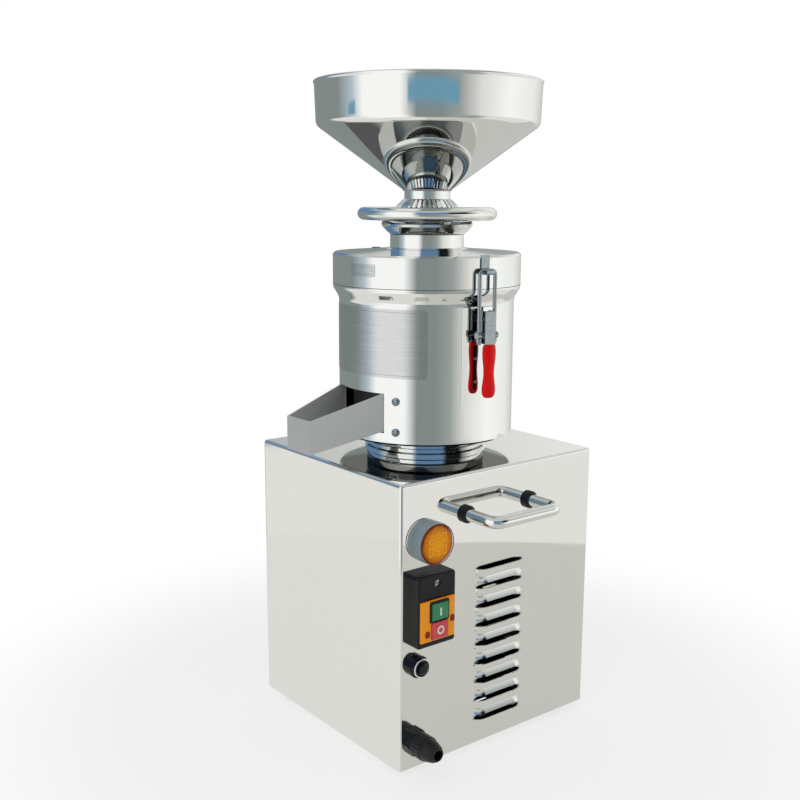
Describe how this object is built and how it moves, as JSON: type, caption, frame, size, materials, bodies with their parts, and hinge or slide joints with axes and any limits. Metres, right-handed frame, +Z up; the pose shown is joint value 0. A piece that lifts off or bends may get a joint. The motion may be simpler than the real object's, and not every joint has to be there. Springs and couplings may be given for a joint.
{
  "type": "nut butter grinder",
  "caption": "Upright nut butter grinder: polished cabinet with vertical motor, round grinding head with adjusting handwheel, feed hopper, side chute and push-button panel.",
  "frame": {"origin": "on the drive axis, on the surface that the feet stand on", "axes": "+Z up, the control panel faces -Y, the discharge chute points along -X"},
  "size_m": [0.2935, 0.3414, 0.68],
  "materials": {
    "mirror_steel": "mirror polished stainless sheet",
    "turned_steel": "turned and polished, bright plated",
    "steel_hardware": "zinc plated fasteners",
    "latch_steel": "pressed, bright zinc",
    "cast_aluminium": "die cast",
    "cast_iron_disc": "hardened grinding disc",
    "lamination_steel": "stacked laminations and varnished windings",
    "bearing_steel": "ground",
    "black_plastic": "moulded, semi-gloss",
    "black_rubber": "moulded",
    "orange_plastic": "moulded",
    "green_plastic": "moulded",
    "red_plastic": "moulded",
    "red_vinyl": "dip moulded",
    "amber_lens": "tinted window",
    "meter_grey": "moulded"
  },
  "bodies": {
    "machine": {"cabinet_shell": "mirror_steel", "base_plate": "mirror_steel", "rubber_feet": "black_rubber", "foot_screws": "steel_hardware", "front_handle": "turned_steel", "rear_handle": "turned_steel", "handle_feet": "black_plastic", "handle_nuts": "steel_hardware", "meter_body": "meter_grey", "meter_lens": "amber_lens", "switch_box": "black_plastic", "switch_screw": "steel_hardware", "switch_block": "black_plastic", "switch_bezel": "orange_plastic", "reset_collar": "turned_steel", "breaker_body": "black_plastic", "cable_gland": "black_plastic", "gland_cap": "black_plastic", "panel_nuts": "black_plastic", "motor_frame": "cast_aluminium", "upper_end_bell": "cast_aluminium", "lower_end_bell": "cast_aluminium", "motor_tie_bolts": "steel_hardware", "motor_bearings": "bearing_steel", "wound_stator": "lamination_steel", "run_capacitor": "black_plastic", "pedestal_ring": "turned_steel", "grinding_housing": "turned_steel", "shaft_seal": "black_rubber", "housing_bolts": "steel_hardware", "discharge_chute": "mirror_steel", "chute_screws": "steel_hardware", "head_cover": "turned_steel", "cover_seal": "black_rubber", "latch_bases": "latch_steel", "latch_hooks": "latch_steel"},
    "drive_rotor": {"motor_shaft": "turned_steel", "rotor_core": "lamination_steel", "cooling_fan": "black_plastic", "disc_table": "cast_aluminium", "scraper_blades": "latch_steel", "lower_disc": "cast_iron_disc", "shaft_nut": "steel_hardware"},
    "feed_carriage": {"feed_tube": "turned_steel", "upper_disc": "cast_iron_disc", "guide_pins": "steel_hardware"},
    "adjusting_wheel": {"handwheel": "turned_steel", "hub_circlip": "steel_hardware"},
    "gap_lock": {"lock_ring": "turned_steel"},
    "hopper": {"hopper_bowl": "mirror_steel", "hopper_stem": "turned_steel"},
    "front_lever": {"front_latch_lever": "latch_steel", "front_latch_grip": "red_vinyl"},
    "front_loop": {"front_latch_loop": "latch_steel"},
    "rear_lever": {"rear_latch_lever": "latch_steel", "rear_latch_grip": "red_vinyl"},
    "rear_loop": {"rear_latch_loop": "latch_steel"},
    "start_key": {"start_button": "green_plastic"},
    "stop_key": {"stop_button": "red_plastic"},
    "reset_key": {"reset_button": "black_plastic"}
  },
  "joints": [
    {"name": "rotor_spin", "type": "hinge", "parent": "machine", "child": "drive_rotor", "pos_m": [0, 0, 0.2], "axis": [0, 0, 1], "continuous": true},
    {"name": "wheel_turn", "type": "hinge", "parent": "machine", "child": "adjusting_wheel", "pos_m": [0, 0, 0.547], "axis": [0, 0, 1], "range_deg": [-360, 0]},
    {"name": "disc_travel", "type": "slide", "parent": "machine", "child": "feed_carriage", "axis": [0, 0, 1], "range_m": [0, 0.002]},
    {"name": "lock_turn", "type": "hinge", "parent": "feed_carriage", "child": "gap_lock", "pos_m": [0, 0, 0.555], "axis": [0, 0, 1], "range_deg": [0, 90]},
    {"name": "hopper_lift", "type": "slide", "parent": "feed_carriage", "child": "hopper", "axis": [0, 0, 1], "range_m": [0, 0.06]},
    {"name": "front_lever_swing", "type": "hinge", "parent": "machine", "child": "front_lever", "pos_m": [-0.0082, -0.10418, 0.446], "axis": [-0.9969, 0.0785, 0], "range_deg": [0, 80]},
    {"name": "front_loop_swing", "type": "hinge", "parent": "front_lever", "child": "front_loop", "pos_m": [-0.00815, -0.10358, 0.43], "axis": [-0.9969, 0.0785, 0], "range_deg": [-66, 0]},
    {"name": "rear_lever_swing", "type": "hinge", "parent": "machine", "child": "rear_lever", "pos_m": [0.0082, 0.10418, 0.446], "axis": [0.9969, -0.0785, 0], "range_deg": [0, 80]},
    {"name": "rear_loop_swing", "type": "hinge", "parent": "rear_lever", "child": "rear_loop", "pos_m": [0.00815, 0.10358, 0.43], "axis": [0.9969, -0.0785, 0], "range_deg": [-66, 0]},
    {"name": "start_press", "type": "slide", "parent": "machine", "child": "start_key", "axis": [0, 1, 0], "range_m": [0, 0.003], "stiffness_N_per_m": 400, "springref_m": -0.001},
    {"name": "stop_press", "type": "slide", "parent": "machine", "child": "stop_key", "axis": [0, 1, 0], "range_m": [0, 0.003], "stiffness_N_per_m": 400, "springref_m": -0.001},
    {"name": "reset_press", "type": "slide", "parent": "machine", "child": "reset_key", "axis": [0, 1, 0], "range_m": [0, 0.003], "stiffness_N_per_m": 400, "springref_m": -0.001}
  ],
  "couplings": [
    {"joint": "wheel_turn", "follows": "disc_travel", "rad_per_m": -3141.6},
    {"joint": "front_loop_swing", "follows": "front_lever_swing", "ratio": -0.8186},
    {"joint": "rear_loop_swing", "follows": "rear_lever_swing", "ratio": -0.8186}
  ]
}
